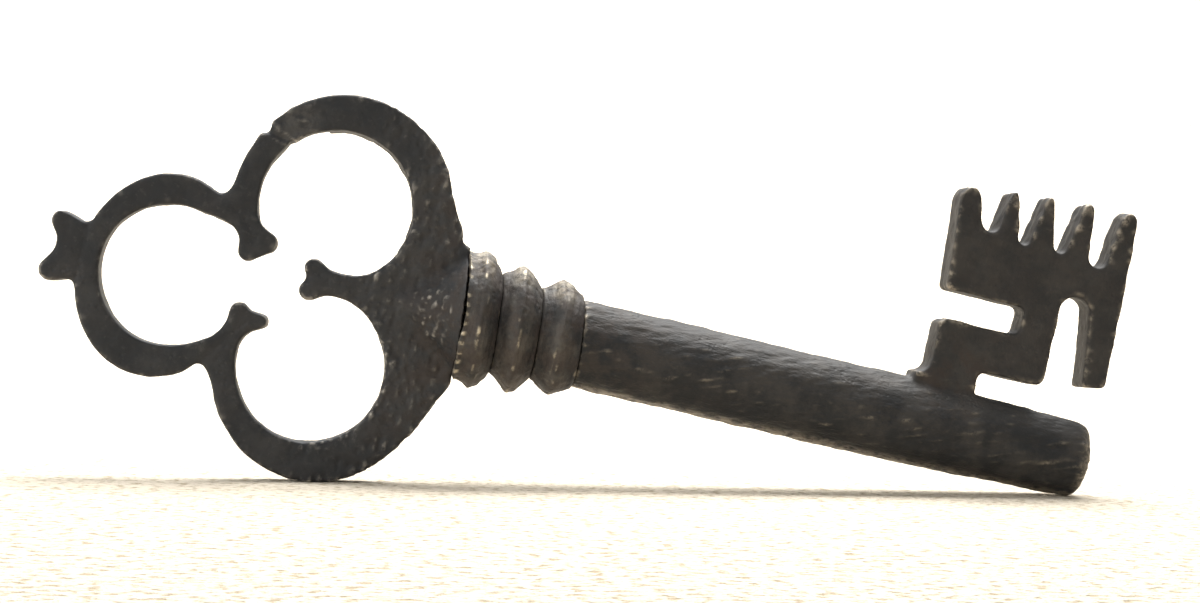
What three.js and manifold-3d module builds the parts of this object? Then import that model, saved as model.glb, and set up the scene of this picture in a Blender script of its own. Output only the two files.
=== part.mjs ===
// Forged iron casket key. A hollow stem carries a toothed bit at its mouth and three
// beaded rings at its upper end. The bow is a trefoil of bars forged on to a root,
// whose round tang runs through the rings into the stem.
// The key stands on its edge, on its lower lobe and on the lip of its mouth.
import * as THREE from 'three';
import { mergeVertices } from 'three/addons/utils/BufferGeometryUtils.js';
import Module from 'manifold-3d';

// Driving dimensions in millimetres and degrees. In the key's own frame the centre of
// the mouth is the origin, the stem lies along X with the bow at its negative end,
// the bit points to +Z, and the thickness lies along Y.

// Stem: a tube that tapers a little towards its mouth.
const stemLength = 59.2;
const stemRadius = 4.9;
const mouthRadius = 4.3;
const taperLength = 22;
const taperKnee = { reach: 0.6, share: 0.35 };
const boreRadius = 2.6;
const lipRadius = 1.2;
const boreChamfer = 0.2;

// Beaded rings, counted from the stem towards the bow. Each has its width along the stem,
// the radius of its bead and the radius of the valley on its bow side. The rings lean
// a little towards the bow at their tops, and so do the ends of the stem and the root.
const stemValley = 5.05;
const ringLean = 0.085;
const ringSteps = 8;
const rings = [
  { name: 'collar_ring_stem', width: 4.7, bead: 6.5, valley: 5.05 },
  { name: 'collar_ring_middle', width: 4.55, bead: 7.05, valley: 5.5 },
  { name: 'collar_ring_bow', width: 3.95, bead: 7.65, valley: 7.3 },
];

// Tang of the bow root, which the rings and the stem are brazed on to.
const tangDepth = 8;
const tangClearance = 0.12;
const tangChamfer = 0.5;
const brazeFilm = 0.03;

// Bow: plate thickness, its worn edge, and the three lobes. Reach is measured from the
// face of the last ring to the middle of the lobe, height from the axis of the stem.
const bowThickness = 4.2;
const bowEdge = 0.35;
const upperLobe = { reach: 15.85, height: 8.4, radius: 8.3 };
const lowerLobe = { reach: 14.6, height: -9.2, radius: 8.15 };
const outerLobe = { reach: upperLobe.reach + 15.75, height: -2.85, radius: 7.55 };

// The bars are thickest away from the middle of the bow: the outside of each lobe is an
// arc whose middle is moved off that of the opening.
const upperBar = { width: 3.45, shiftX: 0.75, shiftZ: 0.75 };
const lowerBar = { width: 3.25, shiftX: 1.1, shiftZ: -0.85, start: -45, insideTo: -183 };
const lowerBarRim = { from: 200, to: 322, jointRise: 0.35, jointHeading: 60 };
const outerBar = { sideWidth: 1.65, topWidth: 3.55, shiftX: -0.65, shiftZ: -0.25 };
const outerBarTurns = { start: 160, rimTo: 298, insideFrom: -80, insideTo: -275 };
const cuspBarWidth = 2.95;
const rootJointAngle = 20;

// Half lap where the cusp bar goes behind the end of the upper lobe's bar, and the tongue
// and shoulder that the cusp bar has there.
const lap = { innerAngle: 138.3, outerAngle: 144.6, innerRise: 0.35, outerDrop: 0.8, length: 3.6 };
const lapEnd = { rimTo: 146, insideFrom: 136.3 };
const cuspBar = { rimFrom: 156, rimTo: 181, insideFrom: 202, insideTo: 155, insideRise: 0.1, arrive: 70 };
const tongue = { shoulder: 0.7, outerInset: 1.6, innerInset: 1.4 };

// Fishtail cusps between the lobes. The two bars of a cusp lie against each other along
// crotch, neck and notch, and each ends in a round ear. Angles are about the lobe.
const upperCusp = {
  crotch: { angle: 188, rise: 3.85 },
  neck: { angle: 205, rise: 1.3 },
  notch: { angle: 227, rise: 1.7 },
  ear: { x: 0.45, z: 1.78, radius: 1.25, from: -70, to: 60 },
  outerEar: { x: -1.35, z: 0.48, radius: 1.2, from: 170, to: 298 },
};
const lowerCusp = {
  crotch: { angle: 189.8, rise: 3.6 },
  neck: { angle: 167, rise: 0.75 },
  notch: { angle: 149, rise: 0.55 },
  ear: { x: 1.1, z: -0.85, radius: 0.85, from: -75, to: 80 },
  outerEar: { x: -1.4, z: -0.25, radius: 0.95, from: 20, to: 185 },
};

// Cusp of the bow root, which points into the middle of the bow.
const rootCusp = { reach: 17.2, height: 0.2, notchDepth: 0.4, earRadius: 1.05, spread: 1.25 };
const rootNeck = { reach: 14.1, width: 2.5 };
const rootCuspTurns = { upperFrom: 50, upperTo: 215, lowerFrom: 145, lowerTo: 310 };
const rootInside = { upperTo: -25, lowerFrom: 45 };
const rootShoulder = { radius: 7.6, back: 0.95, heading: 92, lowHeading: 66 };
const rootSwell = { length: 9, radius: 6.6, bend: 1.7, sink: 0.2, steps: 6 };

// Fishtail finial on the end of the bow.
const finial = { seat: 8.9, low: -5.4, high: 0.0, length: 2.85, notchHeight: -2.3 };
const finialEar = { radius: 1.15, reach: 2.85, inset: 0.2 };
const finialTurns = { upperFrom: 65, upperTo: 215, lowerFrom: 145, lowerTo: 290, seat: 20 };

// Bit: a plate with a comb of five teeth and two ward cuts. Heights are measured from the
// axis of the stem and distances back from the mouth.
const bitThickness = 4.2;
const bitEdge = 0.25;
const bitOverhang = 0.45;
const bitLength = 21.2;
const heelHeight = 27.3;
const toeHeight = 28.8;
const crestArch = 0.35;
const heelLean = 0.7;
const heelInset = 0.1;
const toeLean = 0.45;
const blockUnderside = 15.4;
const toothTip = { least: 0.35, share: 0.5 };

// Gaps of the comb, from the toe to the heel, as they were filed by hand. Their places and
// widths are shares of the bit's length, and their floors are measured down from the crest.
const combGaps = [
  { place: 0.1934, mouth: 0.1557, root: 0.1085, depth: 6.92 },
  { place: 0.4127, mouth: 0.1604, root: 0.0755, depth: 6.12 },
  { place: 0.6156, mouth: 0.1462, root: 0.066, depth: 5.9 },
  { place: 0.8113, mouth: 0.1415, root: 0.0943, depth: 4.98 },
];

// Ward cuts: one from the heel under the comb, one from below behind the leg.
const heelWard = { height: 3.2, end: 10.7, roof: 0.5, drop: 0.6, foot: 0.5, sweep: 1.6, lean: 0.1 };
const toeWard = { back: 6.75, width: 3.75, top: 18.0, flare: 0.8, inset: 0.1, rise: 1.5 };
const legBottom = 8.15;
const legToe = { slope: 1.6, from: -70 };
const stepUnderside = 7.2;
const stepCorner = 0.9;
const legCorner = 0.6;

// Root of the bit: its neck stands in a mortise in the stem, with a small foot at the heel.
const neckBack = 14.35;
const neckLength = 5.6;
const neckFillet = 0.7;
const neckTop = { inset: 0.1, drop: 0.5 };
const footLength = 1.5;
const footHeight = 2.0;
const footToe = 0.7;
const footHeading = 190;
const mortiseWeb = 0.5;
const mortiseClearance = 0.1;

// How finely the curves are cut into flats.
const chord = 1.15;
const turnStep = 28;
const roundSegments = 36;
const lipStep = 22.5;
const bevelSteps = 2;
const flowPull = 0.4;

// Values that follow from the driving dimensions.
const degree = Math.PI / 180;
const tangRadius = boreRadius - tangClearance;
const collarLength = rings.reduce((sum, ring) => sum + ring.width + brazeFilm, brazeFilm);
const bowX = -(stemLength + collarLength);
const mortiseFloor = boreRadius + mortiseWeb;

// Point at an angle about a middle, in degrees.
function polar(middle, radius, angle) {
  return new THREE.Vector2(
    middle.x + radius * Math.cos(angle * degree),
    middle.y + radius * Math.sin(angle * degree),
  );
}

// A closed outline, walked anticlockwise with the metal on the left. Arcs are cut into
// flats, and flow joins two stretches with a curve that leaves and arrives smoothly.
class Outline {
  constructor(heading = 0) {
    this.points = [];
    this.heading = heading;
  }

  turn(heading) {
    this.heading = heading;
    return this;
  }

  to(point) {
    const last = this.points.at(-1);
    if (last && last.distanceTo(point) < 1e-6) return this;
    if (last) this.heading = Math.atan2(point.y - last.y, point.x - last.x) / degree;
    this.points.push(point.clone());
    return this;
  }

  arc(middle, radiusX, from, to, radiusZ = radiusX) {
    const length = Math.abs(to - from) * degree * Math.max(radiusX, radiusZ);
    const steps = Math.max(2, Math.ceil(length / chord), Math.ceil(Math.abs(to - from) / turnStep));
    for (let i = 0; i <= steps; i += 1) {
      const angle = (from + ((to - from) * i) / steps) * degree;
      this.to(new THREE.Vector2(middle.x + radiusX * Math.cos(angle), middle.y + radiusZ * Math.sin(angle)));
    }
    this.heading = to + (to > from ? 90 : -90);
    return this;
  }

  flow(point, heading) {
    const start = this.points.at(-1);
    const pull = start.distanceTo(point) * flowPull;
    const leave = polar(start, pull, this.heading);
    const arrive = polar(point, -pull, heading);
    const curve = new THREE.CubicBezierCurve(start, leave, arrive, point);
    const steps = Math.max(3, Math.ceil(curve.getLength() / chord));
    for (let i = 1; i <= steps; i += 1) this.to(curve.getPoint(i / steps));
    this.heading = heading;
    return this;
  }

  // Flow on to an arc and along it.
  flowArc(middle, radius, from, to) {
    this.flow(polar(middle, radius, from), from + (to > from ? 90 : -90));
    return this.arc(middle, radius, from, to);
  }
}

// Plate of the given thickness on an outline, with its edges worn off by a small bevel.
function plate(outline, thickness, edge) {
  const geometry = new THREE.ExtrudeGeometry(new THREE.Shape(outline.points), {
    depth: thickness - 2 * edge,
    bevelEnabled: true,
    bevelThickness: edge,
    bevelSize: edge,
    bevelOffset: -edge,
    bevelSegments: bevelSteps,
  });
  geometry.translate(0, 0, edge - thickness / 2);
  geometry.rotateX(Math.PI / 2);
  return geometry;
}

// Solid of revolution about the stem's axis from [x, radius] pairs in order of rising x.
function turned(profile) {
  const points = profile.map(([x, radius]) => new THREE.Vector2(radius, x));
  const geometry = new THREE.LatheGeometry(points, roundSegments);
  geometry.rotateZ(-Math.PI / 2);
  return geometry;
}

// Shift along the stem of a point at a height, where the collar leans.
function leanAt(height) {
  return -ringLean * height;
}

// Leans a turned piece in the reach of the collar, fading out at the given length past it.
function leaned(geometry, fade) {
  const position = geometry.attributes.position;
  for (let i = 0; i < position.count; i += 1) {
    const x = position.getX(i);
    const past = Math.max(x + stemLength, bowX - x, 0);
    const share = Math.max(0, 1 - past / fade);
    position.setX(i, x + share * leanAt(position.getZ(i)));
  }
  return geometry;
}

function box(minimum, maximum) {
  const size = new THREE.Vector3().subVectors(maximum, minimum);
  const middle = new THREE.Vector3().addVectors(minimum, maximum).multiplyScalar(0.5);
  return new THREE.BoxGeometry(size.x, size.y, size.z).translate(middle.x, middle.y, middle.z);
}

// Joins and cuts between closed meshes.
const wasm = await Module();
wasm.setup();

function toSolid(geometry) {
  const bare = geometry.clone();
  bare.deleteAttribute('normal');
  bare.deleteAttribute('uv');
  const merged = mergeVertices(bare, 1e-5);
  const mesh = new wasm.Mesh({
    numProp: 3,
    vertProperties: new Float32Array(merged.attributes.position.array),
    triVerts: new Uint32Array(merged.index.array),
  });
  mesh.merge();
  return new wasm.Manifold(mesh);
}

function toGeometry(solid) {
  const mesh = solid.getMesh();
  const geometry = new THREE.BufferGeometry();
  geometry.setAttribute('position', new THREE.BufferAttribute(mesh.vertProperties, 3));
  geometry.setIndex(new THREE.BufferAttribute(mesh.triVerts, 1));
  geometry.computeVertexNormals();
  return geometry;
}

// Middles of the lobes' openings and of the arcs round their outsides.
function middleOf(lobe, bar = { shiftX: 0, shiftZ: 0 }) {
  return new THREE.Vector2(bowX - lobe.reach + bar.shiftX, lobe.height + bar.shiftZ);
}

const upperMiddle = middleOf(upperLobe);
const lowerMiddle = middleOf(lowerLobe);
const outerMiddle = middleOf(outerLobe);
const upperRim = middleOf(upperLobe, upperBar);
const lowerRim = middleOf(lowerLobe, lowerBar);
const outerRim = middleOf(outerLobe, outerBar);
const upperRimRadius = upperLobe.radius + upperBar.width;
const lowerRimRadius = lowerLobe.radius + lowerBar.width;
const outerRimX = outerLobe.radius + outerBar.sideWidth;
const outerRimZ = outerLobe.radius + outerBar.topWidth;

// Outer end of the joint between the root and the lower lobe's bar.
const lowerJoint = polar(lowerRim, lowerRimRadius + lowerBarRim.jointRise, -rootJointAngle);

// Points that the two bars of a cusp share.
function cuspPoints(cusp, middle, radius) {
  const at = ({ angle, rise }) => polar(middle, radius + rise, angle);
  const notch = at(cusp.notch);
  return {
    crotch: at(cusp.crotch),
    neck: at(cusp.neck),
    notch,
    ear: new THREE.Vector2(notch.x + cusp.ear.x, notch.y + cusp.ear.z),
    outerEar: new THREE.Vector2(notch.x + cusp.outerEar.x, notch.y + cusp.outerEar.z),
  };
}

const upperMeet = cuspPoints(upperCusp, upperMiddle, upperLobe.radius);
const lowerMeet = cuspPoints(lowerCusp, lowerMiddle, lowerLobe.radius);

// Tube with a rounded lip, a bore right through it and a mortise for the bit.
function stemBarrel() {
  const lipMiddle = new THREE.Vector2(-lipRadius, mouthRadius - lipRadius);
  const profile = [
    [-stemLength, boreRadius],
    [-stemLength, stemRadius],
    [-taperLength, stemRadius],
    [-taperLength * taperKnee.reach, stemRadius + (mouthRadius - stemRadius) * taperKnee.share],
  ];
  for (let angle = 90; angle >= 0; angle -= lipStep) {
    const point = polar(lipMiddle, lipRadius, angle);
    profile.push([point.x, point.y]);
  }
  profile.push([0, boreRadius + boreChamfer], [-boreChamfer, boreRadius], [-stemLength, boreRadius]);
  const halfWidth = bitThickness / 2 + mortiseClearance;
  const mortise = box(
    new THREE.Vector3(-neckBack - neckLength - mortiseClearance, -halfWidth, mortiseFloor),
    new THREE.Vector3(-neckBack + mortiseClearance, halfWidth, stemRadius * 2),
  );
  return toGeometry(toSolid(leaned(turned(profile), taperLength)).subtract(toSolid(mortise)));
}

// Ring with one bead, threaded on the tang. Its flanks fall to the valleys on both sides.
function collarRing(right, ring, valleyRight) {
  const left = right - ring.width;
  const profile = [[left, tangRadius + tangClearance]];
  for (let i = 0; i <= ringSteps; i += 1) {
    const share = i / ringSteps;
    const valley = ring.valley + (valleyRight - ring.valley) * share;
    profile.push([left + ring.width * share, valley + (ring.bead - valley) * Math.sin(Math.PI * share)]);
  }
  profile.push([right, tangRadius + tangClearance], profile[0]);
  return leaned(turned(profile), taperLength);
}

// Root of the bow: a web between two lobes with a fishtail cusp, which swells towards
// the rings, and the tang.
function bowRoot() {
  const upperInner = polar(upperMiddle, upperLobe.radius, rootJointAngle);
  const upperOuter = polar(upperRim, upperRimRadius, rootJointAngle);
  const lowerInner = polar(lowerMiddle, lowerLobe.radius, -rootJointAngle);
  const cuspX = bowX - rootCusp.reach;
  const neckX = bowX - rootNeck.reach;
  const upperEar = new THREE.Vector2(cuspX + rootCusp.earRadius / 2, rootCusp.height + rootCusp.spread);
  const lowerEar = new THREE.Vector2(cuspX + rootCusp.earRadius / 2, rootCusp.height - rootCusp.spread);
  const shoulder = rootShoulder.radius;
  const shoulderHigh = new THREE.Vector2(bowX + leanAt(shoulder), shoulder);
  const shoulderLow = new THREE.Vector2(bowX + leanAt(-shoulder), -shoulder);
  const outline = new Outline()
    .to(shoulderLow)
    .to(shoulderHigh)
    .to(new THREE.Vector2(shoulderHigh.x - rootShoulder.back, shoulder))
    .turn(rootShoulder.heading)
    .flow(upperOuter, rootJointAngle + 90)
    .to(upperInner)
    .arc(upperMiddle, upperLobe.radius, rootJointAngle, rootInside.upperTo)
    .flow(new THREE.Vector2(neckX, rootCusp.height + rootNeck.width / 2), 180)
    .flowArc(upperEar, rootCusp.earRadius, rootCuspTurns.upperFrom, rootCuspTurns.upperTo)
    .flow(new THREE.Vector2(cuspX + rootCusp.notchDepth, rootCusp.height), 270)
    .flowArc(lowerEar, rootCusp.earRadius, rootCuspTurns.lowerFrom, rootCuspTurns.lowerTo)
    .flow(new THREE.Vector2(neckX, rootCusp.height - rootNeck.width / 2), 0)
    .flow(polar(lowerMiddle, lowerLobe.radius, rootInside.lowerFrom), rootInside.lowerFrom - 90)
    .arc(lowerMiddle, lowerLobe.radius, rootInside.lowerFrom, -rootJointAngle)
    .to(lowerInner)
    .to(lowerJoint)
    .turn(lowerBarRim.jointHeading)
    .flow(shoulderLow, rootShoulder.lowHeading);
  outline.points.pop();

  const startRadius = bowThickness / 2 - rootSwell.sink;
  const swell = [[bowX - rootSwell.length, 0]];
  for (let i = 0; i <= rootSwell.steps; i += 1) {
    const share = i / rootSwell.steps;
    const rise = (rootSwell.radius - startRadius) * share ** rootSwell.bend;
    swell.push([bowX - rootSwell.length * (1 - share), startRadius + rise]);
  }
  const tangEnd = -stemLength + tangDepth;
  swell.push([bowX, tangRadius], [tangEnd - tangChamfer, tangRadius]);
  swell.push([tangEnd, tangRadius - tangChamfer], [tangEnd, 0]);
  const web = toSolid(plate(outline, bowThickness, bowEdge));
  return toGeometry(web.add(toSolid(leaned(turned(swell), rootSwell.length))));
}

// Corners of the half lap. The front of the joint runs from inner to outer.
const lapInner = polar(upperMiddle, upperLobe.radius + lap.innerRise, lap.innerAngle);
const lapOuter = polar(upperMiddle, upperLobe.radius + cuspBarWidth - lap.outerDrop, lap.outerAngle);
const lapHeading = Math.atan2(lapOuter.y - lapInner.y, lapOuter.x - lapInner.x) / degree;

// Block over one half of the thickness along the lap: side is 1 for the back half and -1
// for the front. The gap is left for the weld, and the spare is how far the block goes past
// the length of the lap.
function lapBlock(side, gap, spare) {
  const reach = cuspBarWidth * 3;
  const middle = lapInner.clone().lerp(lapOuter, 0.5);
  const height = lap.length + spare + brazeFilm;
  const half = new THREE.BoxGeometry(reach, bowThickness, height);
  half.translate(0, (side * (bowThickness - gap)) / 2, height / 2 - brazeFilm);
  half.rotateY(-(lapHeading - 180) * degree);
  half.translate(middle.x, 0, middle.y);
  return toSolid(half);
}

// Bar of the upper lobe, from the root over the top to the lap.
function upperLobeBar() {
  const outline = new Outline()
    .arc(upperRim, upperRimRadius, rootJointAngle, lapEnd.rimTo)
    .to(lapOuter)
    .to(lapInner)
    .arc(upperMiddle, upperLobe.radius, lapEnd.insideFrom, rootJointAngle);
  const whole = toSolid(plate(outline, bowThickness, bowEdge));
  return toGeometry(whole.subtract(lapBlock(1, brazeFilm, brazeFilm)));
}

// Bar from the lap down to the cusp between the upper and the outer lobe. Its upper end
// is a tongue of half the thickness behind the end of the upper lobe's bar.
function upperCuspBar() {
  const rimRadius = upperLobe.radius + cuspBarWidth;
  const across = polar(new THREE.Vector2(), 1, lapHeading);
  const up = new THREE.Vector2(across.y, -across.x);
  const shoulder = lapOuter.clone().addScaledVector(across, tongue.shoulder);
  const tongueOuter = lapOuter.clone().addScaledVector(up, lap.length);
  tongueOuter.addScaledVector(across, -tongue.outerInset);
  const tongueInner = lapInner.clone().addScaledVector(up, lap.length);
  tongueInner.addScaledVector(across, -tongue.innerInset);
  const outline = new Outline()
    .to(tongueInner)
    .to(tongueOuter)
    .to(lapOuter)
    .to(shoulder)
    .flowArc(upperMiddle, rimRadius, cuspBar.rimFrom, cuspBar.rimTo)
    .to(upperMeet.crotch)
    .to(upperMeet.neck)
    .to(upperMeet.notch)
    .arc(upperMeet.ear, upperCusp.ear.radius, upperCusp.ear.from, upperCusp.ear.to)
    .flowArc(upperMiddle, upperLobe.radius + cuspBar.insideRise, cuspBar.insideFrom, cuspBar.insideTo)
    .flow(lapInner, cuspBar.arrive);
  const whole = toSolid(plate(outline, bowThickness, bowEdge));
  return toGeometry(whole.subtract(lapBlock(-1, 0, bowEdge)));
}

// C-shaped bar of the outer lobe, between the two cusps.
function outerLobeBar() {
  const seatAngle = Math.acos(finial.seat / outerRimX) / degree;
  const turns = outerBarTurns;
  const outline = new Outline(turns.start)
    .to(upperMeet.crotch)
    .flow(new THREE.Vector2(outerRim.x, outerRim.y + outerRimZ), 180)
    .arc(outerRim, outerRimX, 90, 180 - seatAngle, outerRimZ)
    .arc(outerRim, outerRimX, 180 + seatAngle, turns.rimTo, outerRimZ)
    .to(lowerMeet.crotch)
    .to(lowerMeet.neck)
    .to(lowerMeet.notch)
    .arc(lowerMeet.outerEar, lowerCusp.outerEar.radius, lowerCusp.outerEar.from, lowerCusp.outerEar.to)
    .flowArc(outerMiddle, outerLobe.radius, turns.insideFrom, turns.insideTo)
    .flowArc(upperMeet.outerEar, upperCusp.outerEar.radius, upperCusp.outerEar.from, upperCusp.outerEar.to)
    .to(upperMeet.notch)
    .to(upperMeet.neck);
  return plate(outline, bowThickness, bowEdge);
}

// Bar of the lower lobe, from its cusp round the bottom to the root.
function lowerLobeBar() {
  const outline = new Outline(lowerBar.start)
    .to(lowerMeet.crotch)
    .flowArc(lowerRim, lowerRimRadius, lowerBarRim.from, lowerBarRim.to)
    .flow(lowerJoint, lowerBarRim.jointHeading)
    .arc(lowerMiddle, lowerLobe.radius, -rootJointAngle, lowerBar.insideTo)
    .flowArc(lowerMeet.ear, lowerCusp.ear.radius, lowerCusp.ear.from, lowerCusp.ear.to)
    .to(lowerMeet.notch)
    .to(lowerMeet.neck);
  return plate(outline, bowThickness, bowEdge);
}

// Fishtail on the far end of the bow, seated on a flat of the outer lobe's bar.
function bowFinial() {
  const seatX = outerRim.x - finial.seat;
  const earX = seatX - finialEar.reach;
  const upperEar = new THREE.Vector2(earX, finial.high + finialEar.inset);
  const lowerEar = new THREE.Vector2(earX, finial.low + finialEar.inset);
  const outline = new Outline()
    .to(new THREE.Vector2(seatX, finial.low))
    .to(new THREE.Vector2(seatX, finial.high))
    .flowArc(upperEar, finialEar.radius, finialTurns.upperFrom, finialTurns.upperTo)
    .flow(new THREE.Vector2(seatX - finial.length, finial.notchHeight), 270)
    .flowArc(lowerEar, finialEar.radius, finialTurns.lowerFrom, finialTurns.lowerTo)
    .flow(new THREE.Vector2(seatX, finial.low), finialTurns.seat);
  outline.points.pop();
  return plate(outline, bowThickness, bowEdge);
}

// Height of the comb's crest at a distance back from the mouth.
function crestAt(back) {
  const share = (back + bitOverhang) / bitLength;
  return toeHeight + (heelHeight - toeHeight) * share + crestArch * Math.sin(Math.PI * share);
}

// The comb, walked from the toe to the heel: tooth, gap, tooth and so on.
function addComb(outline, toe, heel) {
  const tooth = (right, left) => {
    const rise = toothTip.least + toothTip.share * (right - left);
    const middle = new THREE.Vector2((right + left) / 2, crestAt(-(right + left) / 2) - rise);
    outline.arc(middle, (right - left) / 2, 0, 180, rise);
  };
  let right = toe;
  for (const gap of combGaps) {
    const back = gap.place * bitLength - bitOverhang;
    const halfMouth = (gap.mouth * bitLength) / 2;
    const radius = (gap.root * bitLength) / 2;
    tooth(right, halfMouth - back);
    outline.arc(new THREE.Vector2(-back, crestAt(back) - gap.depth + radius), radius, 0, -180);
    right = -back - halfMouth;
  }
  tooth(right, heel);
}

// Bit: comb, ward cuts, leg, and a neck that stands in the stem.
function bitPlate() {
  const toe = bitOverhang;
  const heel = toe - bitLength;
  const neckFront = -neckBack;
  const neckHeel = neckFront - neckLength;
  const wardTop = blockUnderside;
  const wardLow = blockUnderside - heelWard.height;
  const wardEnd = -heelWard.end;
  const slotHalf = toeWard.width / 2 - toeWard.inset;
  const stepFront = -toeWard.back;
  const legBack = stepFront + toeWard.width;
  const footTop = stemRadius + mortiseClearance;
  const outline = new Outline()
    .to(new THREE.Vector2(neckHeel, mortiseFloor))
    .to(new THREE.Vector2(neckFront, mortiseFloor))
    .to(new THREE.Vector2(neckFront, stepUnderside - neckFillet))
    .flow(new THREE.Vector2(neckFront + neckFillet, stepUnderside), 0)
    .arc(new THREE.Vector2(stepFront - stepCorner, stepUnderside + stepCorner), stepCorner, -90, 0)
    .arc(new THREE.Vector2(stepFront + slotHalf, toeWard.top - toeWard.rise), slotHalf, 180, 0, toeWard.rise)
    .to(new THREE.Vector2(legBack + toeWard.flare, legBottom))
    .arc(new THREE.Vector2(toe - legCorner, legBottom + legCorner * legToe.slope), legCorner, legToe.from, 0);
  addComb(outline, toe - toeLean, heel - heelInset);
  outline
    .arc(new THREE.Vector2(heel + heelLean + legCorner, wardTop + legCorner), legCorner, 180, 270)
    .to(new THREE.Vector2(wardEnd - heelWard.roof, wardTop))
    .flow(new THREE.Vector2(wardEnd, wardTop - heelWard.drop), 270)
    .to(new THREE.Vector2(wardEnd - heelWard.lean, wardLow + heelWard.foot))
    .flow(new THREE.Vector2(wardEnd - heelWard.sweep, wardLow), 180)
    .to(new THREE.Vector2(neckHeel + neckTop.drop, wardLow))
    .to(new THREE.Vector2(neckHeel - neckTop.inset, wardLow - neckTop.drop))
    .to(new THREE.Vector2(neckHeel, footTop + footHeight))
    .flow(new THREE.Vector2(neckHeel - footLength, footTop + footToe), footHeading)
    .to(new THREE.Vector2(neckHeel - footLength, footTop))
    .to(new THREE.Vector2(neckHeel, footTop));
  return plate(outline, bitThickness, bitEdge);
}

// Finishes of the forged iron.
function iron(colour, roughness, metalness) {
  return new THREE.MeshStandardMaterial({ color: colour, roughness, metalness });
}

const bowIron = iron(0x2f2d2b, 0.5, 0.7);
const collarIron = iron(0x3b3631, 0.5, 0.7);
const stemIron = iron(0x413c36, 0.55, 0.7);
const bitIron = iron(0x36322e, 0.55, 0.7);

const key = new THREE.Group();

function add(name, geometry, material) {
  const mesh = new THREE.Mesh(geometry, material);
  mesh.name = name;
  key.add(mesh);
}

add('stem_barrel', stemBarrel(), stemIron);
add('bit_plate', bitPlate(), bitIron);

let seat = -stemLength - brazeFilm;
let valleyRight = stemValley;
for (const ring of rings) {
  add(ring.name, collarRing(seat, ring, valleyRight), collarIron);
  seat -= ring.width + brazeFilm;
  valleyRight = ring.valley;
}

add('bow_root', bowRoot(), bowIron);
add('upper_lobe_bar', upperLobeBar(), bowIron);
add('upper_cusp_bar', upperCuspBar(), bowIron);
add('outer_lobe_bar', outerLobeBar(), bowIron);
add('lower_lobe_bar', lowerLobeBar(), bowIron);
add('bow_finial', bowFinial(), bowIron);

// Resting line: the common tangent under the lower lobe and the lip of the mouth.
const lipLow = new THREE.Vector2(-lipRadius, lipRadius - mouthRadius);
const span = new THREE.Vector2().subVectors(lipLow, lowerRim);
const tangentSlope = Math.asin((lowerRimRadius - lipRadius) / span.length());
const restAngle = tangentSlope + Math.atan2(span.y, span.x);
key.rotation.y = restAngle;

// The origin is in the middle of the box's underside, on the surface the key stands on.
const casketKey = new THREE.Group();
casketKey.add(key);
casketKey.updateMatrixWorld(true);
const bounds = new THREE.Box3().setFromObject(casketKey, true);
key.position.set(-(bounds.min.x + bounds.max.x) / 2, -(bounds.min.y + bounds.max.y) / 2, -bounds.min.z);

export default casketKey;
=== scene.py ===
import math

import bpy
import numpy as np
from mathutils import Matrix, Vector
from mathutils.bvhtree import BVHTree


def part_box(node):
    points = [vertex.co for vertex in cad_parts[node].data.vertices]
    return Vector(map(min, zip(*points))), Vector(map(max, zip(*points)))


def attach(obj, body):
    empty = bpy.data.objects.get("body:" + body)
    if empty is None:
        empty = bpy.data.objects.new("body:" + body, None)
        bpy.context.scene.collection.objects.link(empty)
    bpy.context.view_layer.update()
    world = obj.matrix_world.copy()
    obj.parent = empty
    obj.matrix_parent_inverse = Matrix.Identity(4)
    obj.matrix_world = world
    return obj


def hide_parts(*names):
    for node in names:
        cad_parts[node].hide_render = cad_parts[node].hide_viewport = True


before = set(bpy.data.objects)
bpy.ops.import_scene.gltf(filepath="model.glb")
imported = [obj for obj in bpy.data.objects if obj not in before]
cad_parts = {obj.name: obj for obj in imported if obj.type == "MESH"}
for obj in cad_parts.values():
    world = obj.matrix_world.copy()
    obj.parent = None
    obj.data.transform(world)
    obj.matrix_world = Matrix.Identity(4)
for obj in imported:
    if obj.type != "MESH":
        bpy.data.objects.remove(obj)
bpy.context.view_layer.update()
print("stage: frame loaded")

millimetre = 0.001

# Where the key stands: the middle of the mouth and the fall of the stem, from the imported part.
keyPlace = {
    "mouth": (0.055413, 0.0, 0.0039919),
    "fall": 11.567868,
}
fall = math.radians(keyPlace["fall"])
mouth = np.array(keyPlace["mouth"])


# Points of the row frame in millimetres, turned into the key's own frame: x along the stem with
# the bow negative, y through the thickness, z towards the bit.
def toKey(points):
    offset = points - mouth / millimetre
    x = offset[:, 0] * math.cos(fall) - offset[:, 2] * math.sin(fall)
    z = offset[:, 0] * math.sin(fall) + offset[:, 2] * math.cos(fall)
    return np.stack([x, offset[:, 1], z], 1)


# Smooth noise between -1 and 1 at each point, from a seeded lattice.
latticeSize = 32
lattice = np.random.default_rng(41).uniform(-1, 1, (latticeSize, latticeSize, latticeSize))


def noiseAt(points, size, seed=0):
    scaled = points / np.asarray(size, float) + seed * 7.31
    cell = np.floor(scaled).astype(int)
    share = scaled - cell
    share = share * share * (3 - 2 * share)
    total = np.zeros(len(points))
    for corner in range(8):
        step = np.array([corner & 1, (corner >> 1) & 1, (corner >> 2) & 1])
        weight = np.where(step, share, 1 - share).prod(1)
        index = (cell + step) % latticeSize
        total += weight * lattice[index[:, 0], index[:, 1], index[:, 2]]
    return total


# Soft step from 0 to 1 between two values.
def ramp(value, low, high):
    share = np.clip((value - low) / (high - low), 0, 1)
    return share * share * (3 - 2 * share)


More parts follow.
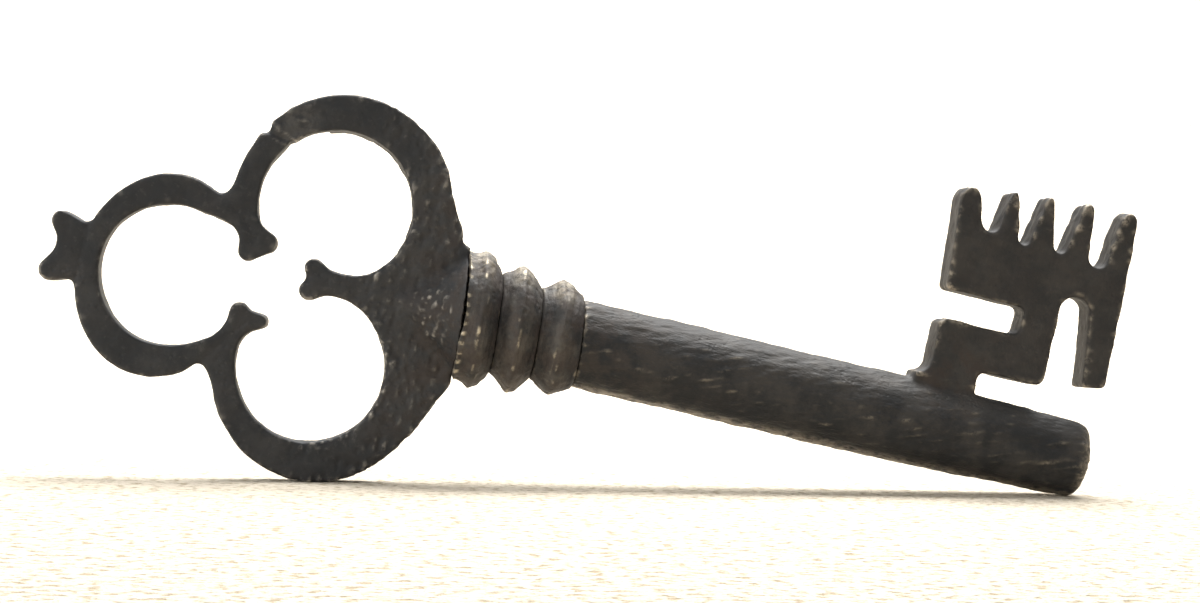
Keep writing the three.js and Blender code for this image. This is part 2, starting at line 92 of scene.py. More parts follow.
# Copies of CAD nodes joined in one mesh, in millimetres.
def gather(names):
    points, faces, start = [], [], 0
    for name in names:
        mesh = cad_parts[name].data
        co = np.empty(len(mesh.vertices) * 3)
        mesh.vertices.foreach_get("co", co)
        points.append(co.reshape(-1, 3) / millimetre)
        for polygon in mesh.polygons:
            faces.append([index + start for index in polygon.vertices])
        start += len(mesh.vertices)
    joined = bpy.data.meshes.new("joined")
    joined.from_pydata(np.concatenate(points).tolist(), [], faces)
    return joined


# One even skin round everything in the mesh.
def reskin(mesh, voxel):
    holder = bpy.data.objects.new("holder", mesh)
    bpy.context.scene.collection.objects.link(holder)
    modifier = holder.modifiers.new("skin", "REMESH")
    modifier.mode = "VOXEL"
    modifier.voxel_size = voxel
    depsgraph = bpy.context.evaluated_depsgraph_get()
    skinned = bpy.data.meshes.new_from_object(holder.evaluated_get(depsgraph))
    bpy.data.objects.remove(holder)
    bpy.data.meshes.remove(mesh)
    return skinned


def readPoints(mesh):
    co = np.empty(len(mesh.vertices) * 3)
    mesh.vertices.foreach_get("co", co)
    return co.reshape(-1, 3)


def writePoints(mesh, points):
    mesh.vertices.foreach_set("co", points.astype(np.float32).ravel())
    mesh.update()


def normalsOf(mesh):
    normals = np.empty(len(mesh.vertices) * 3, np.float32)
    mesh.vertex_normals.foreach_get("vector", normals)
    return normals.reshape(-1, 3).astype(float)


# Mean of each vertex's neighbours.
def neighbourMean(mesh, values):
    edges = np.empty(len(mesh.edges) * 2, int)
    mesh.edges.foreach_get("vertices", edges)
    edges = edges.reshape(-1, 2)
    total = np.zeros_like(values)
    count = np.zeros(len(values))
    for a, b in ((0, 1), (1, 0)):
        np.add.at(total, edges[:, a], values[edges[:, b]])
        np.add.at(count, edges[:, a], 1)
    count = np.maximum(count, 1)
    return total / (count[:, None] if values.ndim == 2 else count)


def relax(mesh, times, share=0.5):
    points = readPoints(mesh)
    for _ in range(times):
        points += (neighbourMean(mesh, points) - points) * share
    writePoints(mesh, points)


# Skin of several nodes with their narrow grooves closed: it swells, takes a new skin and
# shrinks back, so that welded joints run into one another as forged iron does.
def forge(names, voxel, swell):
    mesh = reskin(gather(names), voxel)
    if swell:
        writePoints(mesh, readPoints(mesh) + normalsOf(mesh) * swell)
        mesh = reskin(mesh, voxel)
        relax(mesh, 2)
        writePoints(mesh, readPoints(mesh) - normalsOf(mesh) * swell)
    relax(mesh, 2)
    return mesh


# Wear on convex edges and dirt in hollows, as a value between -1 and 1 on each vertex.
def bendOf(mesh, times):
    points, normals = readPoints(mesh), normalsOf(mesh)
    bend = ((points - neighbourMean(mesh, points)) * normals).sum(1)
    for _ in range(times):
        bend = 0.5 * bend + 0.5 * neighbourMean(mesh, bend)
    return bend


def setValue(mesh, name, values):
    attribute = mesh.attributes.get(name) or mesh.attributes.new(name, "FLOAT", "POINT")
    attribute.data.foreach_set("value", np.asarray(values, np.float32))


# Splits a skin into one mesh for each node, by which node each face lies on.
def share(mesh, names):
    trees = []
    for name in names:
        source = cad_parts[name].data
        corners = readPoints(source) / millimetre
        trees.append(BVHTree.FromPolygons(
            [Vector(corner) for corner in corners],
            [tuple(polygon.vertices) for polygon in source.polygons],
        ))
    points = readPoints(mesh)
    sides = np.empty(len(mesh.polygons) * 4, int)
    mesh.polygons.foreach_get("vertices", sides)
    sides = sides.reshape(-1, 4)
    middles = points[sides].mean(1)
    owner = np.zeros(len(sides), int)
    for i, middle in enumerate(middles):
        spot = Vector(middle)
        best = 1e9
        for k, tree in enumerate(trees):
            low, high = reach[names[k]]
            if not all(low[a] <= middle[a] <= high[a] for a in range(3)):
                continue
            distance = tree.find_nearest(spot)[3]
            if distance is not None and distance < best:
                best, owner[i] = distance, k
    values = {}
    for attribute in mesh.attributes:
        if attribute.domain == "POINT" and attribute.data_type == "FLOAT":
            column = np.empty(len(points), np.float32)
            attribute.data.foreach_get("value", column)
            values[attribute.name] = column
    parts = {}
    for k, name in enumerate(names):
        chosen = sides[owner == k]
        used, renumbered = np.unique(chosen, return_inverse=True)
        part = bpy.data.meshes.new(name)
        part.from_pydata(points[used].tolist(), [], renumbered.reshape(-1, 4).tolist())
        for label, column in values.items():
            setValue(part, label, column[used])
        parts[name] = part
    return parts


reach = {}
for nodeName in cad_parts:
    lowCorner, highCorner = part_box(nodeName)
    reach[nodeName] = (
        [value / millimetre - 1.2 for value in lowCorner],
        [value / millimetre + 1.2 for value in highCorner],
    )


# Shader node group with the given inputs and outputs.
def newGroup(name, inputs, outputs):
    group = bpy.data.node_groups.new(name, "ShaderNodeTree")
    for label, kind, value in inputs:
        socket = group.interface.new_socket(label, in_out="INPUT", socket_type=kind)
        if value is not None:
            socket.default_value = value
    for label, kind in outputs:
        group.interface.new_socket(label, in_out="OUTPUT", socket_type=kind)
    return group, group.nodes.new("NodeGroupInput"), group.nodes.new("NodeGroupOutput")


def place(tree, kind, **settings):
    node = tree.nodes.new(kind)
    for label, value in settings.items():
        setattr(node, label, value)
    return node


# A math node on two sources, each a socket or a number.
def combine(tree, operation, a, b=0.0, clamp=False):
    node = place(tree, "ShaderNodeMath", operation=operation, use_clamp=clamp)
    for slot, source in enumerate((a, b)):
        if isinstance(source, (int, float)):
            node.inputs[slot].default_value = source
        else:
            tree.links.new(source, node.inputs[slot])
    return node.outputs[0]


def remap(tree, source, low, high, toLow=0.0, toHigh=1.0):
    node = place(tree, "ShaderNodeMapRange", interpolation_type="SMOOTHSTEP")
    tree.links.new(source, node.inputs["Value"])
    for label, value in (("From Min", low), ("From Max", high), ("To Min", toLow), ("To Max", toHigh)):
        node.inputs[label].default_value = value
    return node.outputs["Result"]


def noiseNode(tree, vector, scale, detail=3.0, roughness=0.6):
    node = place(tree, "ShaderNodeTexNoise")
    node.inputs["Scale"].default_value = scale
    node.inputs["Detail"].default_value = detail
    node.inputs["Roughness"].default_value = roughness
    tree.links.new(vector, node.inputs["Vector"])
    return node.outputs["Fac"]


# Object coordinates turned along the stem and stretched, so that marks can run one way.
def stretched(tree, x, y, z):
    coordinates = place(tree, "ShaderNodeTexCoord")
    turn = place(tree, "ShaderNodeVectorRotate", rotation_type="Y_AXIS")
    turn.inputs["Angle"].default_value = -fall
    tree.links.new(coordinates.outputs["Object"], turn.inputs["Vector"])
    mapping = place(tree, "ShaderNodeMapping")
    mapping.inputs["Scale"].default_value = (x, y, z)
    tree.links.new(turn.outputs[0], mapping.inputs["Vector"])
    return mapping.outputs[0]


# Height of fine pits and scale on the iron.
def pitGroup():
    group, ins, outs = newGroup(
        "ironPits",
        [("Vector", "NodeSocketVector", None), ("Size", "NodeSocketFloat", 1500.0)],
        [("Height", "NodeSocketFloat")],
    )
    cells = place(group, "ShaderNodeTexVoronoi", feature="SMOOTH_F1")
    cells.inputs["Smoothness"].default_value = 0.5
    group.links.new(ins.outputs["Vector"], cells.inputs["Vector"])
    group.links.new(ins.outputs["Size"], cells.inputs["Scale"])
    pits = remap(group, cells.outputs["Distance"], 0.05, 0.45)
    crust = noiseNode(group, ins.outputs["Vector"], 2600.0, 4.0, 0.7)
    where = remap(group, noiseNode(group, ins.outputs["Vector"], 240.0), 0.42, 0.62)
    pitted = combine(group, "MULTIPLY", combine(group, "SUBTRACT", pits, 1.0), where)
    height = combine(group, "ADD", combine(group, "MULTIPLY", crust, 0.6), pitted)
    group.links.new(height, outs.inputs["Height"])
    return group


# Height of file marks: thin streaks along one direction of the given vector.
def fileGroup():
    group, ins, outs = newGroup(
        "fileMarks",
        [("Vector", "NodeSocketVector", None)],
        [("Height", "NodeSocketFloat"), ("Scratch", "NodeSocketFloat")],
    )
    broad = noiseNode(group, ins.outputs["Vector"], 1.0, 3.0, 0.65)
    fine = noiseNode(group, ins.outputs["Vector"], 3.1, 2.0, 0.6)
    height = combine(group, "ADD", broad, combine(group, "MULTIPLY", fine, 0.5))
    group.links.new(height, outs.inputs["Height"])
    group.links.new(remap(group, fine, 0.6, 0.72), outs.inputs["Scratch"])
    return group


# Colour and roughness of oxidised iron from the wear and painted sheen, brown and grain masks.
def ironGroup():
    group, ins, outs = newGroup(
        "ironSkin",
        [
            ("Dark", "NodeSocketColor", (0.02, 0.019, 0.018, 1)),
            ("Grey", "NodeSocketColor", (0.07, 0.062, 0.054, 1)),
            ("Brown", "NodeSocketColor", (0.075, 0.045, 0.03, 1)),
            ("Bright", "NodeSocketColor", (0.33, 0.29, 0.23, 1)),
            ("Cloud", "NodeSocketFloat", 0.5),
            ("Rust", "NodeSocketFloat", 0.0),
            ("WearAndSheen", "NodeSocketFloat", 0.0),
            ("Scratch", "NodeSocketFloat", 0.0),
        ],
        [
            ("Color", "NodeSocketColor"),
            ("Roughness", "NodeSocketFloat"),
            ("Metallic", "NodeSocketFloat"),
        ],
    )

    def blend(base, top, amount):
        node = place(group, "ShaderNodeMix", data_type="RGBA")
        group.links.new(base, node.inputs["A"])
        group.links.new(top, node.inputs["B"])
        group.links.new(amount, node.inputs["Factor"])
        return node.outputs["Result"]

    base = blend(ins.outputs["Dark"], ins.outputs["Grey"], ins.outputs["Cloud"])
    base = blend(base, ins.outputs["Brown"], ins.outputs["Rust"])
    scratched = combine(group, "MULTIPLY", ins.outputs["Scratch"], 0.25)
    bare = combine(group, "ADD", ins.outputs["WearAndSheen"], scratched, True)
    group.links.new(blend(base, ins.outputs["Bright"], bare), outs.inputs["Color"])
    rough = combine(group, "SUBTRACT", 0.6, combine(group, "MULTIPLY", bare, 0.2))
    rough = combine(group, "ADD", rough, combine(group, "MULTIPLY", ins.outputs["Rust"], 0.15), True)
    group.links.new(rough, outs.inputs["Roughness"])
    metal = combine(group, "ADD", 0.2, combine(group, "MULTIPLY", bare, 0.7), True)
    group.links.new(metal, outs.inputs["Metallic"])
    return group


groups = {"pits": pitGroup(), "file": fileGroup(), "skin": ironGroup()}


# Oxidised iron for one slot. look holds the colours, how strongly each mask shows, and the
# stretch of the file marks along, through and across the key, in marks per metre.
def ironMaterial(name, look):
    material = bpy.data.materials.new(name)
    material.use_nodes = True
    tree = material.node_tree
    shader = tree.nodes["Principled BSDF"]
    plain = stretched(tree, 1, 1, 1)
    filed = stretched(tree, *look["fileStretch"])

    def useGroup(key):
        return place(tree, "ShaderNodeGroup", node_tree=groups[key])

    def maskOf(label):
        return place(tree, "ShaderNodeAttribute", attribute_name=label).outputs["Fac"]

    pits, marks, skin = useGroup("pits"), useGroup("file"), useGroup("skin")
    tree.links.new(plain, pits.inputs["Vector"])
    pits.inputs["Size"].default_value = look["pitSize"]
    tree.links.new(filed, marks.inputs["Vector"])
    for label in ("Dark", "Grey", "Brown", "Bright"):
        skin.inputs[label].default_value = (*look[label.lower()], 1)
    cloud = noiseNode(tree, plain, look["cloudScale"], 5.0, 0.65)
    cloud = remap(tree, cloud, 0.4, 0.66)
    cloud = combine(tree, "MULTIPLY", cloud, look["cloud"])
    cloud = combine(tree, "ADD", cloud, combine(tree, "MULTIPLY", maskOf("lift"), look["lift"]), True)
    tree.links.new(cloud, skin.inputs["Cloud"])
    stain = remap(tree, noiseNode(tree, plain, 420.0, 4.0, 0.6), 0.38, 0.62)
    rust = combine(tree, "MULTIPLY", combine(tree, "MULTIPLY", stain, maskOf("rust")), look["rust"], True)
    tree.links.new(rust, skin.inputs["Rust"])
    broken = remap(tree, noiseNode(tree, plain, 900.0, 4.0, 0.7), 0.36, 0.6)
    wearAndSheen = combine(tree, "MULTIPLY", combine(tree, "MULTIPLY", broken, maskOf("wearAndSheen")), look["wearAndSheen"], True)
    tree.links.new(wearAndSheen, skin.inputs["WearAndSheen"])
    scratch = combine(tree, "MULTIPLY", marks.outputs["Scratch"], look["scratch"])
    tree.links.new(scratch, skin.inputs["Scratch"])
    height = combine(tree, "MULTIPLY", marks.outputs["Height"], look["fileDepth"])
    pitted = combine(tree, "MULTIPLY", pits.outputs["Height"], look["pitDepth"])
    height = combine(tree, "ADD", height, pitted)
    bump = place(tree, "ShaderNodeBump")
    bump.inputs["Strength"].default_value = 1.0
    bump.inputs["Distance"].default_value = look["bump"]
    tree.links.new(height, bump.inputs["Height"])
    tree.links.new(bump.outputs["Normal"], shader.inputs["Normal"])
    tree.links.new(skin.outputs["Color"], shader.inputs["Base Color"])
    tree.links.new(skin.outputs["Roughness"], shader.inputs["Roughness"])
    tree.links.new(skin.outputs["Metallic"], shader.inputs["Metallic"])
    shader.inputs["Specular IOR Level"].default_value = look["gloss"]
    return material


# A finished piece that stands for a CAD node.
def makePiece(mesh, node, pieceName, material):
    points = readPoints(mesh) * millimetre
    writePoints(mesh, points)
    mesh.polygons.foreach_set("use_smooth", [True] * len(mesh.polygons))
    piece = bpy.data.objects.new(pieceName, mesh)
    bpy.context.scene.collection.objects.link(piece)
    mesh.materials.append(material)
    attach(piece, "root")
    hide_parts(node)
    return piece


# Bow: six forged bars that run into one another. Dents and facets are in millimetres.
bow = {
    "names": [
        "bow_root",
        "upper_lobe_bar",
        "upper_cusp_bar",
        "outer_lobe_bar",
        "lower_lobe_bar",
        "bow_finial",
    ],
    "voxel": 0.2,
    "swell": 0.42,
    "dent": 0.16,
    "facet": 0.09,
    "grain": 0.04,
    "crust": 0.16,
    "stroke": 0.07,
    "root": (-90, -83),
    "collarSide": (-86, -78),
    "brownSide": (-82, -74),
    "shoulder": {"lean": 0.085, "from": -74.0, "to": -72.9},
    "lap": {"from": (-94.7, 14.1), "to": (-97.0, 14.6), "past": 0.4, "width": 0.4, "depth": 0.16},
    "patch": {"middle": (-94.6, 16.3), "inner": 1.6, "outer": 3.2, "rough": 0.1},
    "edge": (0.003, 0.013),
    "face": (0.88, 0.97),
    "look": {
        "dark": (0.023, 0.0242, 0.0262),
        "grey": (0.047, 0.046, 0.045),
        "brown": (0.0462, 0.0357, 0.0294),
        "bright": (0.5, 0.46, 0.4),
        "cloudScale": 260.0,
        "cloud": 0.55,
        "lift": 0.8,
        "rust": 0.7,
        "wearAndSheen": 1.0,
        "scratch": 0.08,
        "fileStretch": (500, 500, 500),
        "fileDepth": 0.25,
        "pitSize": 1300.0,
        "pitDepth": 0.6,
        "bump": 0.00009,
        "gloss": 0.24,
    },
}

# Stem and bit, joined by braze at the neck.
stem = {
    "names": ["stem_barrel", "bit_plate"],
    "voxel": 0.2,
    "swell": 0.22,
    "dent": 0.12,
    "facet": 0.09,
    "grain": 0.04,
    "stroke": 0.06,
    "askew": 0.35,
    "batter": 0.1,
    "bitFrom": (5.2, 6.2),
    "crests": (21, 27),
    "step": {"middle": (-18.5, 10.8), "inner": 1.2, "outer": 2.6, "depth": 0.03, "marks": 9},
    "neck": {"middle": (-17, 5.5), "inner": 2.5, "outer": 5.5},
    "bore": (2.6, 3.0),
    "lip": (-1.6, -0.6),
    "collarSide": (-58, -46),
    "edge": (0.003, 0.014),
    "look": {
        "dark": (0.0185, 0.0192, 0.0203),
        "grey": (0.06, 0.056, 0.051),
        "brown": (0.0441, 0.0347, 0.0294),
        "bright": (0.5, 0.43, 0.33),
        "cloudScale": 210.0,
        "cloud": 0.5,
        "lift": 0.9,
        "rust": 0.7,
        "wearAndSheen": 1.0,
        "scratch": 0.05,
        "fileStretch": (330, 900, 1000),
        "fileDepth": 1.2,
        "pitSize": 1500.0,
        "pitDepth": 0.4,
        "bump": 0.00013,
        "gloss": 0.24,
    },
    "bitLook": {
        "dark": (0.0185, 0.0188, 0.0195),
        "grey": (0.042, 0.0389, 0.0357),
        "brown": (0.0462, 0.0336, 0.0273),
        "bright": (0.5, 0.43, 0.33),
        "cloudScale": 260.0,
        "cloud": 0.55,
        "lift": 0.9,
        "rust": 0.7,
        "wearAndSheen": 1.0,
        "scratch": 0.04,
        "fileStretch": (700, 700, 300),
        "fileDepth": 0.6,
        "pitSize": 1500.0,
        "pitDepth": 0.4,
        "bump": 0.00009,
        "gloss": 0.24,
    },
}

# Collar rings, with rough grooves round the beads.
collar = {
    "names": ["collar_ring_stem", "collar_ring_middle", "collar_ring_bow"],
    "pieces": ["collarRingStem", "collarRingMiddle", "collarRingBow"],
    "voxel": 0.17,
    "dent": 0.22,
    "groove": 0.11,
    "flat": 0.2,
    "tang": (4.2, 4.9),
    "edge": (0.004, 0.02),
    "dashPitch": 6,
    "grain": 0.06,
    "look": {
        "dark": (0.022, 0.0225, 0.0235),
        "grey": (0.088, 0.08, 0.07),
        "brown": (0.063, 0.0462, 0.0378),
        "bright": (0.55, 0.48, 0.36),
        "cloudScale": 380.0,
        "cloud": 0.6,
        "lift": 0.8,
        "rust": 0.7,
        "wearAndSheen": 1.0,
        "scratch": 0.05,
        "fileStretch": (1400, 420, 420),
        "fileDepth": 0.9,
        "pitSize": 1100.0,
        "pitDepth": 0.7,
        "bump": 0.00013,
        "gloss": 0.24,
    },
}

bowIron = ironMaterial("bowIron", bow["look"])
stemIron = ironMaterial("stemIron", stem["look"])
bitIron = ironMaterial("bitIron", stem["bitLook"])
collarIron = ironMaterial("collarIron", collar["look"])
print("stage: materials made")


# Bow.
def forgeBow():
    mesh = forge(bow["names"], bow["voxel"], bow["swell"])
    points, normals = readPoints(mesh), normalsOf(mesh)
    local = toKey(points)
    move = bow["dent"] * noiseAt(local, 5.5) + bow["facet"] * noiseAt(local, 2.2, 1)
    move += bow["grain"] * noiseAt(local, 0.8, 2)
    # Short strokes across the root, by the collar.
    nearCollar = ramp(local[:, 0], *bow["collarSide"])
    move += nearCollar * bow["stroke"] * noiseAt(local, (0.5, 1.6, 1.6), 3)
    # Crust and short pits all over the root.
    onRoot = ramp(local[:, 0], *bow["root"])
    crust = noiseAt(local, (0.55, 0.8, 0.9), 15) + 0.6 * noiseAt(local, 0.4, 16)
    move -= bow["crust"] * onRoot * np.clip(crust, 0, 1)
    # A groove along the half lap, and a rough patch on the bar's end beyond it.
    lap, rough = bow["lap"], bow["patch"]
    flat = local[:, [0, 2]]
    lapStart = np.array(lap["from"])
    across = np.array(lap["to"]) - lapStart
    shareAlong = ((flat - lapStart) @ across) / (across @ across)
    off = flat - lapStart - np.outer(np.clip(shareAlong, -lap["past"], 1 + lap["past"]), across)
    distance = np.hypot(off[:, 0], off[:, 1])
    front = ramp(-local[:, 1], 0.5, 1.6)
    move -= front * lap["depth"] * (1 - ramp(distance, 0.05, lap["width"]))
    fromPatch = np.hypot(*(flat - np.array(rough["middle"])).T)
    patch = front * (1 - ramp(fromPatch, rough["inner"], rough["outer"]))
    move += patch * rough["rough"] * noiseAt(local, (0.9, 1, 0.6), 4)
    # The shoulder against the collar, which leans with the rings, keeps its place.
    shoulder = bow["shoulder"]
    square = local[:, 0] + shoulder["lean"] * local[:, 2]
    move *= 1 - ramp(square, shoulder["from"], shoulder["to"])
    keep = np.array(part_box("lower_lobe_bar")[0])[2] / millimetre
    moved = points + normals * move[:, None]
    moved[:, 2] = np.maximum(moved[:, 2], keep)
    writePoints(mesh, moved)
    # The broad faces are rubbed less than the rims.
    face = ramp(np.abs(normalsOf(mesh)[:, 1]), *bow["face"])
    edge = ramp(bendOf(mesh, 5), *bow["edge"]) * (1 - 0.65 * face)
    setValue(mesh, "wearAndSheen", np.clip(edge + 0.05 * patch, 0, 1))
    setValue(mesh, "lift", np.clip(0.25 * patch + 0.35 * nearCollar + 0.35 * edge, 0, 1))
    setValue(mesh, "rust", np.clip(0.15 + 0.7 * ramp(local[:, 0], *bow["brownSide"]), 0, 1))
    return share(mesh, bow["names"])


bowParts = forgeBow()
bowPieces = {
    "bow_root": "bowRoot",
    "upper_lobe_bar": "upperLobeBar",
    "upper_cusp_bar": "upperCuspBar",
    "outer_lobe_bar": "outerLobeBar",
    "lower_lobe_bar": "lowerLobeBar",
    "bow_finial": "bowFinial",
}
for nodeName, pieceName in bowPieces.items():
    makePiece(bowParts[nodeName], nodeName, pieceName, bowIron)
print("stage: bow made")


# Stem and bit.
def forgeStem():
    mesh = forge(stem["names"], stem["voxel"], stem["swell"])
    points, normals = readPoints(mesh), normalsOf(mesh)
    local = toKey(points)
    onBit = ramp(local[:, 2], *stem["bitFrom"])
    along = noiseAt(local, (9, 1.6, 1.6), 5)
    move = (1 - onBit) * stem["dent"] * along + stem["facet"] * noiseAt(local, 2.0, 6)
    move += stem["grain"] * noiseAt(local, (1.6, 0.6, 0.6), 7)
    # Hair-thin strokes that run a little askew to the stem.
    askew = local @ np.array([[1, 0, -stem["askew"]], [0, 1, 0], [stem["askew"], 0, 1]])
    move += (1 - onBit) * stem["stroke"] * noiseAt(askew, (2.6, 0.5, 0.42), 17)
    # Crests of the teeth are battered more than the rest.
    crest = ramp(local[:, 2], *stem["crests"])
    move += crest * stem["batter"] * noiseAt(local, 1.0, 8)
    # Slanting file marks on the step beside the foot.
    flat, step, neckSpot = local[:, [0, 2]], stem["step"], stem["neck"]
    onStep = 1 - ramp(np.hypot(*(flat - np.array(step["middle"])).T), step["inner"], step["outer"])
    slant = np.sin((local[:, 0] * 0.8 - local[:, 2] * 0.55) * step["marks"])
    move += onStep * step["depth"] * slant * noiseAt(local, 1.1, 9)
    moved = points + normals * move[:, None]
    moved[:, 2] = np.maximum(moved[:, 2], 0.0)
    writePoints(mesh, moved)
    edge = ramp(bendOf(mesh, 5), *stem["edge"])
    radius = np.hypot(local[:, 1], local[:, 2])
    # Painted light: the upper side of the stem is painted paler, as if lit from above. A strip along its
    # underside is also made paler and brighter.
    paintedLitTop = ramp(local[:, 2] / np.maximum(radius, 0.1), 0.25, 0.75) * (1 - onBit)
    inBore = (1 - ramp(radius, *stem["bore"])) * (1 - onBit)
    lip = ramp(local[:, 0], *stem["lip"]) * (1 - onBit)
    lower = ramp(-local[:, 2] / np.maximum(radius, 0.1), 0.8, 0.98) * (1 - onBit) * (1 - inBore)
    fromNeck = np.hypot(*(flat - np.array(neckSpot["middle"])).T)
    neck = 1 - ramp(fromNeck, neckSpot["inner"], neckSpot["outer"])
    # The lift paints the upper side paler, as light from above would.
    setValue(mesh, "wearAndSheen", np.clip(0.65 * edge + 0.35 * lower + 0.25 * lip, 0, 1) * (1 - inBore))
    setValue(mesh, "lift", np.clip(0.55 * paintedLitTop + 0.35 * onBit + 0.3 * lip + 0.3 * lower - inBore, 0, 1))
    nearCollar = 1 - ramp(local[:, 0], *stem["collarSide"])
    setValue(mesh, "rust", np.clip(0.2 + 0.6 * neck + 0.5 * nearCollar, 0, 1))
    return share(mesh, stem["names"])


stemParts = forgeStem()
makePiece(stemParts["stem_barrel"], "stem_barrel", "stemBarrel", stemIron)
makePiece(stemParts["bit_plate"], "bit_plate", "bitPlate", bitIron)
print("stage: stem and bit made")


# Collar rings.
def forgeRing(node, order):
    mesh = forge([node], collar["voxel"], 0)
    points, normals = readPoints(mesh), normalsOf(mesh)
    local = toKey(points)
    radius = np.hypot(local[:, 1], local[:, 2])
    outside = ramp(radius, *collar["tang"])
    seed = 10 + 3 * order
    # The beads are filed by hand: uneven round the ring, with grooves that run round them.
    move = collar["dent"] * noiseAt(local, (2.6, 3.2, 3.2), seed)
    move += collar["groove"] * noiseAt(local, (0.42, 3.5, 3.5), seed + 1)
    # Flats filed on both sides of each bead leave a ridge round its middle.
    lean = np.polyfit(local[:, 2], local[:, 0], 1)
    aside = np.abs(local[:, 0] - np.polyval(lean, local[:, 2]))
    aside /= aside.max()
    move -= collar["flat"] * np.sin(np.pi * aside)
    move += collar["grain"] * noiseAt(local, 0.7, seed + 2)
    outside *= 1 - 0.7 * ramp(aside, 0.85, 1.0)
    moved = points + normals * (move * outside)[:, None]
    moved[:, 2] = np.maximum(moved[:, 2], 0.0)
    writePoints(mesh, moved)
    edge = ramp(bendOf(mesh, 2), *collar["edge"])
    highest = radius.max()
    crown = ramp(radius, highest - 0.9, highest - 0.1)
    # Painted light: the upper side of each ring is painted paler, and its crest on that side is painted
    # bright, as if lit from above.
    paintedLightFromAbove = ramp(local[:, 2] / np.maximum(radius, 0.1), 0.55, 0.95)
    # Only short lengths of each edge are rubbed bright.
    glint = edge * ramp(noiseAt(local, (0.7, 1.0, 1.3), seed + 20), 0.15, 0.5)
    # Bright dashes beside the root, on the ring next to it.
    rootSideDashes = ramp(aside, 0.62, 0.8) * ramp(np.sin(local[:, 2] * collar["dashPitch"]), 0.1, 0.7)
    rootSideDashes *= (local[:, 0] < np.polyval(lean, local[:, 2])) * (order == 2)
    # Besides rubbed edges and dashes, the wear mask holds a painted highlight on the upper crest. The lift
    # holds a painted paler upper side.
    setValue(mesh, "wearAndSheen", np.clip(0.8 * glint + 0.35 * crown * paintedLightFromAbove + rootSideDashes, 0, 1))
    setValue(mesh, "lift", np.clip(0.7 * paintedLightFromAbove + 0.3 * crown, 0, 1))
    setValue(mesh, "rust", np.full(len(points), 0.6))
    return mesh


for order, (nodeName, pieceName) in enumerate(zip(collar["names"], collar["pieces"])):
    makePiece(forgeRing(nodeName, order), nodeName, pieceName, collarIron)
print("stage: collar made")


# Floor: a pale cloth sheet, curved up behind.
floorLook = {
    "front": -0.5,
    "back": 0.45,
    "side": 0.9,
    "colour": (0.74, 0.66, 0.54),
    "thread": (0.42, 0.34, 0.23),
    "weave": 820.0,
    "relief": 0.0016,
    "fade": (0.0, 0.08),
}


def makeFloor():
    rows, columns = 48, 24
    points, faces = [], []
    for i in range(rows + 1):
        y = floorLook["front"] + (floorLook["back"] - floorLook["front"]) * i / rows
        z = 2.2 * max(0.0, y - 0.2) ** 2
        for j in range(columns + 1):
            points.append((-floorLook["side"] + 2 * floorLook["side"] * j / columns, y, z))
    for i in range(rows):
        for j in range(columns):
            a = i * (columns + 1) + j
            faces.append((a, a + 1, a + columns + 2, a + columns + 1))
    mesh = bpy.data.meshes.new("floor")
    mesh.from_pydata(points, [], faces)
    mesh.polygons.foreach_set("use_smooth", [True] * len(mesh.polygons))
    floor = bpy.data.objects.new("floor", mesh)
    bpy.context.scene.collection.objects.link(floor)
    material = bpy.data.materials.new("cloth")
    material.use_nodes = True
    tree = material.node_tree
    shader = tree.nodes["Principled BSDF"]
    coordinates = place(tree, "ShaderNodeTexCoord")
    grain = noiseNode(tree, coordinates.outputs["Object"], floorLook["weave"], 3.0, 0.6)
    mix = place(tree, "ShaderNodeMix", data_type="RGBA")
    mix.inputs["A"].default_value = (*floorLook["thread"], 1)
    mix.inputs["B"].default_value = (*floorLook["colour"], 1)
    # Painted light: the weave shows near the key and fades out behind it, so the floor behind is painted
    # plain pale, as if washed out by bright light.
    sides = place(tree, "ShaderNodeSeparateXYZ")
    tree.links.new(coordinates.outputs["Object"], sides.inputs["Vector"])
    faded = remap(tree, sides.outputs["Y"], *floorLook["fade"])
    weaveAndPaintedPale = combine(tree, "ADD", remap(tree, grain, 0.34, 0.52), faded, True)
    tree.links.new(weaveAndPaintedPale, mix.inputs["Factor"])
    tree.links.new(mix.outputs["Result"], shader.inputs["Base Color"])
    shader.inputs["Roughness"].default_value = 0.9
    shader.inputs["Specular IOR Level"].default_value = 0.1
    bump = place(tree, "ShaderNodeBump")
    bump.inputs["Distance"].default_value = floorLook["relief"]
    tree.links.new(grain, bump.inputs["Height"])
    tree.links.new(bump.outputs["Normal"], shader.inputs["Normal"])
    mesh.materials.append(material)


makeFloor()
print("stage: floor made")

# Camera: at the photograph's viewing angle, a little left of the key's middle and level with it.
cameraLook = {
    "offset": (-0.08395, -0.23831, 0.01571),
    "yaw": 6.8,
    "roll": 1.712,
    "lens": 64.8,
    "sensor": 36.0,
}


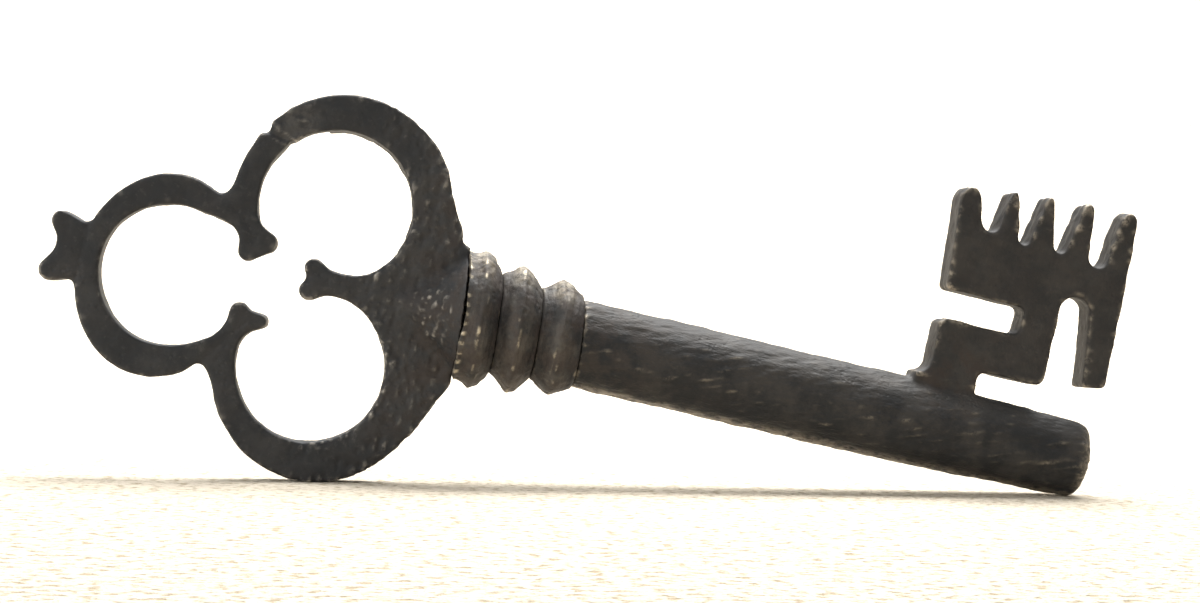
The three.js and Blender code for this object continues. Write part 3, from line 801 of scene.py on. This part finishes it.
def makeCamera():
    yaw, roll = math.radians(cameraLook["yaw"]), math.radians(cameraLook["roll"])
    data = bpy.data.cameras.new("camera")
    data.lens = cameraLook["lens"]
    data.sensor_width = cameraLook["sensor"]
    data.clip_start = 0.01
    camera = bpy.data.objects.new("camera", data)
    bpy.context.scene.collection.objects.link(camera)
    right = Vector((math.cos(yaw) * math.cos(roll), -math.sin(yaw), math.cos(yaw) * math.sin(roll)))
    forward = Vector((math.sin(yaw) * math.cos(roll), math.cos(yaw), math.sin(yaw) * math.sin(roll)))
    up = right.cross(forward)
    turn = camera.matrix_world.to_3x3()
    for axis, vector in enumerate((right, up, -forward)):
        for row in range(3):
            turn[row][axis] = vector[row]
    camera.matrix_world = turn.to_4x4()
    camera.location = Vector(keyPlace["mouth"]) + Vector(cameraLook["offset"])
    bpy.context.scene.camera = camera


makeCamera()

# Light: an even white surround and soft lamps above, in front and low at the left.
lights = [
    {"name": "top", "place": (0.06, 0.12, 0.45), "size": 0.26, "power": 4.6, "aim": (0, 0, 0)},
    {"name": "front", "place": (-0.35, -0.6, 0.35), "size": 0.4, "power": 1.1, "aim": (0, 0, 0.02)},
    {"name": "left", "place": (-0.45, -0.16, 0.14), "size": 0.12, "power": 0.8, "aim": (0, 0, 0.02)},
    {"name": "backdrop", "place": (0, 0.3, 0.3), "size": 0.4, "power": 3.0, "aim": (0, 0.46, 0.0)},
]
surround = {"colour": (0.95, 0.98, 1.0), "strength": 0.46}
world = bpy.data.worlds.new("surround")
world.use_nodes = True
world.node_tree.nodes["Background"].inputs["Color"].default_value = (*surround["colour"], 1)
world.node_tree.nodes["Background"].inputs["Strength"].default_value = surround["strength"]
bpy.context.scene.world = world
for lamp in lights:
    data = bpy.data.lights.new(lamp["name"], "AREA")
    data.size = lamp["size"]
    data.energy = lamp["power"]
    lampObject = bpy.data.objects.new(lamp["name"], data)
    lampObject.location = lamp["place"]
    aim = Vector(lamp["aim"]) - Vector(lamp["place"])
    lampObject.rotation_euler = aim.to_track_quat("-Z", "Y").to_euler()
    bpy.context.scene.collection.objects.link(lampObject)
bpy.context.scene.view_settings.view_transform = "Standard"
print("stage: camera and light made")
